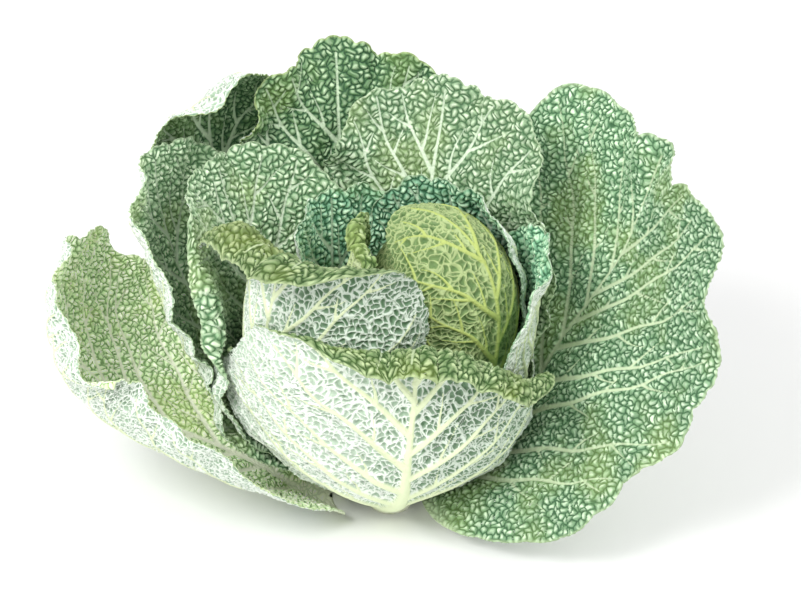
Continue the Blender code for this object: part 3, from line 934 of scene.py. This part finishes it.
def net_height(share, cells):
    """How high the net between the blisters stands on the back, with higher coarse seams."""
    fine, coarse, _ = cells
    net = NET_HEIGHT * (1 - ease((fine - 0.02) / 0.1)) * (1 - 0.3 * share)
    return net + SEAM_HEIGHT * (1 - ease((coarse - 0.01) / 0.05))


def make_leaf(number, leaf, move, tree):
    """A leaf's piece: a blistered, veined shell that stands for the CAD solid of its name."""
    rng = np.random.default_rng(FIRST_SEED + number)
    lamina = FineLamina(leaf)
    lines = grid_lines(FINE_STEPS)
    x, y = np.meshgrid(lines, lines, indexing="ij")
    weights = spline_weights(FINE_STEPS, GRID_STEPS)
    middle = lamina.points(x, y) + np.einsum("ai,ijk,bj->abk", weights, move, weights)
    share, direction = disc_from_square(x, y)
    shares = share.reshape(-1)
    across, along = (part.reshape(-1) for part in lamina.flat(share, direction))
    towards = lamina.normal(np.zeros(1), np.zeros(1))[0]
    normal = surface_normals(middle, towards)
    ruffle = leaf.ruffle * MM * ruffle_height(share, direction, number)
    middle = middle + ruffle[..., None] * normal
    normal = surface_normals(middle, towards)

    near, ridge, metres = vein_fields(across, along, leaf_veins(lamina, rng))
    flat = in_cells(across, along, leaf.cell, number)
    cells = cell_fields(flat, tree)
    lift = lamina_lift(shares, near, metres, cells).reshape(share.shape)
    proud = np.maximum(ridge, net_height(shares, cells)).reshape(share.shape)
    half = 0.5 * (LAMINA + (MARGIN_LAMINA - LAMINA) * ease((share - 0.9) / 0.1))
    inner = middle + (lift + half)[..., None] * normal
    outer = middle + (lift - half - proud)[..., None] * normal
    inner = inner - (GROOVE_SHARE * ridge).reshape(share.shape)[..., None] * normal
    points = np.concatenate([inner.reshape(-1, 3), outer.reshape(-1, 3)])
    points[:, 2] = np.maximum(points[:, 2], LOWEST)

    cross = np.cross(middle[1, 0] - middle[0, 0], middle[0, 1] - middle[0, 0])
    faces = shell_faces(FINE_STEPS, cross @ normal[0, 0] < 0)
    shape = mesh_from_arrays(leaf.name, points, faces)
    add_values(shape, "flat", np.tile(flat, (2, 1)))
    add_values(shape, "vein", np.tile(np.minimum(near, VEIN_LIMIT), 2))
    add_values(shape, "share", np.tile(shares, 2))
    add_values(shape, "along", np.tile(along / lamina.length, 2))
    # Painted light and shade for each point, blended across the midrib from one half's value to the
    # other's.
    right = ease(0.5 + across / PAINTED_SHADE_BLEND)
    painted_shades = [left + (far - left) * right for left, far in (leaf.shade, leaf.back_painted_shade)]
    add_values(shape, "shade", np.concatenate(painted_shades))
    add_bake_map(shape, faces, FINE_STEPS)
    look = LOOKS[leaf.look]
    shape.materials.append(face_material(leaf.name + "_face", look))
    shape.materials.append(back_material(leaf.name + "_back", look))
    count = FINE_STEPS**2
    side = np.zeros(len(faces), np.int32)
    side[count : 2 * count] = 1
    shape.polygons.foreach_set("material_index", side)
    return put_in_scene("looks_" + leaf.name, shape)


# ---- materials ----


class Nodes:
    """A material's node tree, with a method for each kind of node that it uses."""

    def __init__(self, name):
        self.material = bpy.data.materials.new(name)
        self.material.use_nodes = True
        self.tree = self.material.node_tree
        self.shader = self.tree.nodes["Principled BSDF"]

    def add(self, kind, inputs, output=0, **settings):
        return add_node(self.tree, kind, inputs, output, **settings)

    def attribute(self, name, output="Fac"):
        return self.add("ShaderNodeAttribute", {}, output, attribute_name=name)

    def multiply(self, a, b):
        return self.add("ShaderNodeMath", {0: a, 1: b}, operation="MULTIPLY")

    def ranged(self, value, low, high, out_low=0, out_high=1):
        """A smooth step from out_low, where the value is low, to out_high, where it is high."""
        names = ("Value", "From Min", "From Max", "To Min", "To Max")
        inputs = dict(zip(names, (value, low, high, out_low, out_high)))
        return self.add("ShaderNodeMapRange", inputs, interpolation_type="SMOOTHSTEP")

    def mix(self, factor, a, b, blend="MIX"):
        """Two colours mixed. The mix node's colour sockets share names, so they go by number."""
        inputs = {0: factor, 6: a, 7: b}
        return self.add("ShaderNodeMix", inputs, 2, data_type="RGBA", blend_type=blend)

    def cells(self, vector, feature, output, scale=1):
        return add_cells(self.tree, vector, feature, output, scale)

    def cell_tone(self, vector, low, high):
        """A number between low and high that differs from cell to cell."""
        tone = self.add("ShaderNodeSeparateColor", {0: self.cells(vector, "F1", "Color")})
        return self.ranged(tone, 0, 1, low, high)

    def noise(self, vector, scale, detail=2.0):
        inputs = {"Vector": vector, "Scale": scale, "Detail": detail}
        return self.add("ShaderNodeTexNoise", inputs, noise_dimensions="2D")

    def grain(self, vector, low, high):
        """Mottling finer than a cell, between a low and a high brightness."""
        return self.ranged(self.noise(vector, GRAIN_SCALE, GRAIN_DETAIL), 0.3, 0.7, low, high)

    def relief(self, ridges, grain):
        """The bumps' height: ridges, and a little of the grain."""
        share = self.multiply(grain, GRAIN_BUMP)
        return self.add("ShaderNodeMath", {0: ridges, 1: share}, operation="ADD")

    def finish(self, colour, roughness, height=0, strength=0, distance=0):
        inputs = {"Strength": strength, "Distance": distance, "Height": height}
        looks = {"Base Color": colour, "Roughness": roughness, "Specular IOR Level": SPECULAR}
        looks["Normal"] = self.add("ShaderNodeBump", inputs)
        for key, value in looks.items():
            put(self.tree, value, self.shader.inputs[key])
        return self.material


def face_material(name, look):
    """A leaf's inner side: green blisters, with painted shade in the hollows and pale veins."""
    nodes = Nodes(name)
    flat = nodes.attribute("flat", "Vector")
    edge = nodes.cells(flat, "DISTANCE_TO_EDGE", "Distance")
    hollow, body, crest = look.face
    # Painted shade and highlight: the hollow colour darkens the creases between blisters, and the
    # crest colour lights each blister's middle.
    low = nodes.ranged(edge, 0, 0.24)
    high = nodes.ranged(nodes.cells(flat, "F1", "Distance"), 0.1, 0.48, 1, 0)
    high = nodes.multiply(high, nodes.ranged(edge, 0.05, 0.22))
    high = nodes.multiply(high, nodes.cell_tone(flat, 0.35, 1.15))
    colour = nodes.mix(low, hollow, body)
    colour = nodes.mix(high, colour, crest)
    patch = nodes.ranged(nodes.noise(flat, FACE_PATCHES), 0.45, 0.7, 0, 0.55)
    colour = nodes.mix(patch, colour, nodes.mix(0.5, colour, look.tint))
    grain = nodes.grain(flat, 0.8, 1.16)
    colour = nodes.mix(1, colour, grain, "MULTIPLY")
    # Painted light and shade: the stored value lightens this side's colour below 1 and darkens it
    # above 1.
    shade = nodes.ranged(nodes.attribute("shade"), PAINTED_LIGHTEST, PAINTED_DARKEST, 1.4, 0.6)
    colour = nodes.mix(1, colour, shade, "MULTIPLY")
    vein = nodes.ranged(nodes.attribute("vein"), 0.6, 1.6, 0.95, 0)
    fade = nodes.ranged(nodes.attribute("share"), 0.55, 0.97, 1, 0.6)
    colour = nodes.mix(nodes.multiply(vein, fade), colour, look.face_vein)
    rim = nodes.ranged(nodes.attribute("share"), 0.98, 0.998, 0, 0.5)
    colour = nodes.mix(rim, colour, look.margin)
    base = nodes.ranged(nodes.attribute("along"), 0, 0.05, 0.7, 0)
    colour = nodes.mix(base, colour, look.face_vein)
    roughness = nodes.ranged(edge, 0, 0.4, 0.62, 0.46)
    height = nodes.relief(low, grain)
    return nodes.finish(colour, roughness, height, strength=0.5, distance=0.4 * MM)


def back_material(name, look):
    """A leaf's outer side: a raised pale net over grey-green pits, with painted shade in the pits.
    """
    nodes = Nodes(name)
    flat = nodes.attribute("flat", "Vector")
    edge = nodes.cells(flat, "DISTANCE_TO_EDGE", "Distance")
    coarse = nodes.cells(flat, "DISTANCE_TO_EDGE", "Distance", 1 / COARSE_NET)
    pit, middle, pale = look.back
    # The pits' own grey-green, laid on more deeply towards each pit's middle as painted shade; the
    # amount differs from cell to cell and in patches.
    pit_tone_and_shade = nodes.ranged(edge, 0.1, 0.4)
    pit_tone_and_shade = nodes.multiply(pit_tone_and_shade, nodes.cell_tone(flat, 0.15, 1.1))
    patch = nodes.ranged(nodes.noise(flat, BACK_PATCHES), 0.4, 0.68, 1, 0.4)
    pit_tone_and_shade = nodes.multiply(pit_tone_and_shade, patch)
    # Painted light and shade: below 1 the body pales; above 1 the body and the net darken towards
    # the pit colour and the pits deepen.
    shade = nodes.attribute("shade")
    pit_tone_and_shade = nodes.multiply(pit_tone_and_shade, nodes.ranged(shade, PAINTED_LIGHTEST, PAINTED_DARKEST, 0.25, 1.35))
    body = nodes.mix(nodes.ranged(shade, 0.5, 1, 0.4, 0), middle, pale)
    body = nodes.mix(nodes.ranged(shade, 1, PAINTED_DARKEST, 0, 0.75), body, pit)
    crest = nodes.mix(nodes.ranged(shade, 1, PAINTED_DARKEST, 0, 0.4), pale, middle)
    colour = nodes.mix(pit_tone_and_shade, body, pit)
    net = nodes.ranged(edge, 0.05, 0.15, 1, 0)
    colour = nodes.mix(net, colour, crest)
    grain = nodes.grain(flat, 0.88, 1.08)
    colour = nodes.mix(1, colour, grain, "MULTIPLY")
    seam = nodes.ranged(coarse, 0.03, 0.075, 1, 0)
    colour = nodes.mix(seam, colour, crest)
    vein = nodes.ranged(nodes.attribute("vein"), 0.85, 1.5, 1, 0)
    colour = nodes.mix(vein, colour, look.back_vein)
    base = nodes.ranged(nodes.attribute("along"), 0, 0.08, 0.9, 0)
    colour = nodes.mix(base, colour, look.back_vein)
    roughness = nodes.ranged(edge, 0, 0.4, 0.5, 0.62)
    height = nodes.relief(net, grain)
    return nodes.finish(colour, roughness, height, strength=0.5, distance=0.35 * MM)


def stem_material():
    """The stem: cream flesh with a fine, paler grain."""
    nodes = Nodes("stem_flesh")
    place = nodes.add("ShaderNodeTexCoord", {}, "Object")
    specks = nodes.add("ShaderNodeTexNoise", {"Vector": place, "Scale": STEM_GRAIN})
    grain = nodes.ranged(specks, 0.3, 0.7)
    colour = nodes.mix(grain, *STEM_CREAMS)
    return nodes.finish(colour, roughness=0.6, height=grain, strength=0.3, distance=0.3 * MM)


# ---- scene ----


def make_heart(tree):
    """The ball of furled leaves: each overlaps the next in a low step that winds to the top."""
    across_steps = 4 * FINE_STEPS // 5
    turn, rise = np.meshgrid(
        np.linspace(0, 2 * math.pi, across_steps, endpoint=False),
        np.linspace(POLE_GAP, math.pi - POLE_GAP, across_steps // 2),
        indexing="ij",
    )
    flat_turn = (turn * HEART_RADII[0]).reshape(-1)
    flat_rise = (rise * HEART_RADII[2]).reshape(-1)
    flat = in_cells(flat_turn, flat_rise, HEART_CELL, HEART_NUMBER)
    fine = cell_fields(flat, tree)[0]
    furl = (HEART_FURLS * turn / (2 * math.pi) + HEART_TWIST * rise) % 1
    step = HEART_STEP * (furl - 0.5) * ease((1 - furl) / 0.06) * np.sin(rise)
    net = NET_HEIGHT * (1 - ease((fine - 0.02) / 0.12)).reshape(turn.shape)
    pit = (1 - (1 - np.clip(fine / 0.42, 0, 1)) ** 2).reshape(turn.shape)
    grow = (step + net - HEART_PIT * BLISTER_HEIGHT * pit) * np.sin(rise) ** 0.5
    normal = np.stack([np.sin(rise) * np.cos(turn), np.sin(rise) * np.sin(turn), np.cos(rise)], -1)
    ball = normal * np.array(HEART_RADII) * HEART_SHRINK
    points = ball + grow[..., None] * normal + np.array(HEART_CENTRE)
    corners = np.arange(turn.size).reshape(turn.shape)
    ahead = np.roll(corners, -1, axis=0)
    sides = (corners[:, :-1], corners[:, 1:], ahead[:, 1:], ahead[:, :-1])
    faces = np.stack(sides, -1).reshape(-1, 4)
    shape = mesh_from_arrays("heart", points.reshape(-1, 3), faces)
    add_values(shape, "flat", flat)
    for name, value in (("vein", VEIN_LIMIT), ("along", 0.5), ("shade", 1.0)):
        add_values(shape, name, np.full(turn.size, value))
    close_ends(shape)
    shape.materials.append(back_material("heart_furls", LOOKS["heart"]))
    return put_in_scene("looks_heart", shape)


def make_stem():
    """The stem: its CAD profile with fibres that stand proud, and a flat cut face."""
    radii = [radius for radius, _ in STEM_PROFILE]
    heights = [height for _, height in STEM_PROFILE]
    lengths = np.concatenate([[0], np.cumsum(np.hypot(np.diff(radii), np.diff(heights)))])
    places = np.linspace(0, lengths[-1], STEM_RINGS + 1)[1:-1]
    radius = np.interp(places, lengths, radii) * MM
    height = np.interp(places, lengths, heights) * MM
    turn = np.linspace(0, 2 * math.pi, STEM_SIDES, endpoint=False)
    fibres = FIBRE_HEIGHT * (np.sin(9 * turn + 1) + 0.6 * np.sin(23 * turn))
    rough = np.clip(height / STEM_CUT, 0, 1)[:, None] * fibres
    wide = radius[:, None] + rough - STEM_INSET
    points = np.stack([wide * np.cos(turn), wide * np.sin(turn), height[:, None] + 0 * turn], -1)
    corners = np.arange(wide.size).reshape(wide.shape)
    ahead = np.roll(corners, -1, axis=1)
    faces = np.stack([corners[:-1], corners[1:], ahead[1:], ahead[:-1]], -1).reshape(-1, 4)
    shape = mesh_from_arrays("stem", points.reshape(-1, 3), faces)
    close_ends(shape)
    shape.materials.append(stem_material())
    return put_in_scene("looks_stem", shape)


def add_camera():
    """The photo's view."""
    data = bpy.data.cameras.new("camera")
    data.lens = LENS
    data.sensor_width = SENSOR_WIDTH
    camera = put_in_scene("camera", data)
    way_back = Vector((0, -math.cos(CAMERA_ELEVATION), math.sin(CAMERA_ELEVATION)))
    camera.location = CAMERA_TARGET + CAMERA_DISTANCE * way_back
    camera.rotation_euler = (math.pi / 2 - CAMERA_ELEVATION, 0, 0)
    bpy.context.scene.camera = camera


def add_light(name, location, size, power):
    data = bpy.data.lights.new(name, "AREA")
    data.size = size
    data.energy = power
    light = put_in_scene(name, data)
    light.location = location
    light.rotation_euler = (LIT_POINT - Vector(location)).to_track_quat("-Z", "Y").to_euler()


def add_surroundings():
    bpy.ops.mesh.primitive_plane_add(size=FLOOR_SIZE)
    floor = bpy.context.active_object
    floor.name = "floor"
    floor.data.materials.append(Nodes("floor").finish(FLOOR_WHITE, roughness=0.9))
    world = bpy.data.worlds.new("studio")
    bpy.context.scene.world = world
    world.use_nodes = True
    background = world.node_tree.nodes["Background"]
    background.inputs["Color"].default_value = (1, 1, 1, 1)
    background.inputs["Strength"].default_value = SKY_STRENGTH
    for light in LIGHTS:
        add_light(*light)
    bpy.context.scene.view_settings.view_transform = "Standard"


def main():
    add_camera()
    add_surroundings()
    moves = settling_moves()
    tree = cells_tree()
    pieces = {"stem": make_stem(), "heart": make_heart(tree)}
    for number, leaf in enumerate(LEAVES):
        pieces[leaf.name] = make_leaf(number, leaf, moves[leaf.name], tree)
    for node, piece in pieces.items():
        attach(piece, "root")
        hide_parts(node)


main()
